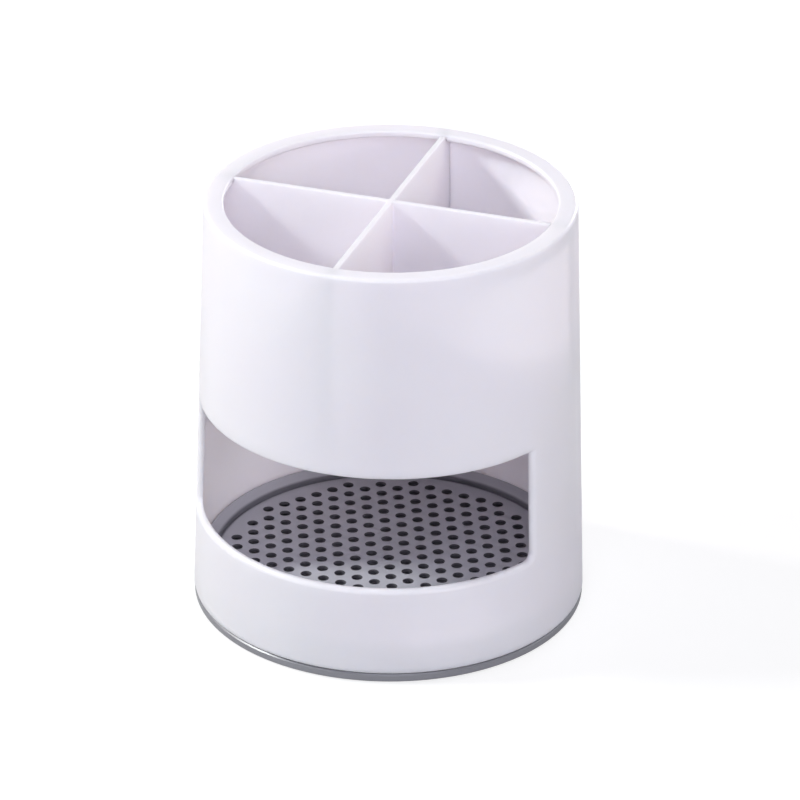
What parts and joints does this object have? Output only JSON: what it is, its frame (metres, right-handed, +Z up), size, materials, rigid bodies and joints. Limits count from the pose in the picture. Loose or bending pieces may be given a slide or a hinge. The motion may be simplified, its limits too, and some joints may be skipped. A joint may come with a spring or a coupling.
{
  "type": "chopstick holder",
  "caption": "Round tapered chopstick holder with inward lip, cross divider, front window, perforated drain tray and drip base.",
  "frame": {"origin": "centre of the footprint, on the table plane under the rubber feet", "axes": "+Z up along the barrel's axis; -Y towards the window; the divider's arms lie along X and Y"},
  "size_m": [0.1286, 0.1286, 0.1405],
  "materials": {
    "white_plastic": "smooth satin moulded white",
    "grey_plastic": "smooth satin moulded grey",
    "foot_rubber": "matt"
  },
  "bodies": {
    "base": {"base": "grey_plastic", "foot_1": "foot_rubber", "foot_2": "foot_rubber", "foot_3": "foot_rubber", "foot_4": "foot_rubber"},
    "barrel": {"barrel": "white_plastic"},
    "divider": {"divider": "white_plastic"},
    "drain_tray": {"drain_tray": "grey_plastic"}
  },
  "joints": [
    {"name": "barrel_lift", "type": "slide", "parent": "base", "child": "barrel", "axis": [0, 0, 1], "range_m": [0, 0.16]},
    {"name": "divider_drop", "type": "slide", "parent": "barrel", "child": "divider", "axis": [0, 0, -1], "range_m": [0, 0.048]},
    {"name": "tray_lift", "type": "slide", "parent": "base", "child": "drain_tray", "axis": [0, 0, 1], "range_m": [0, 0.008]}
  ]
}
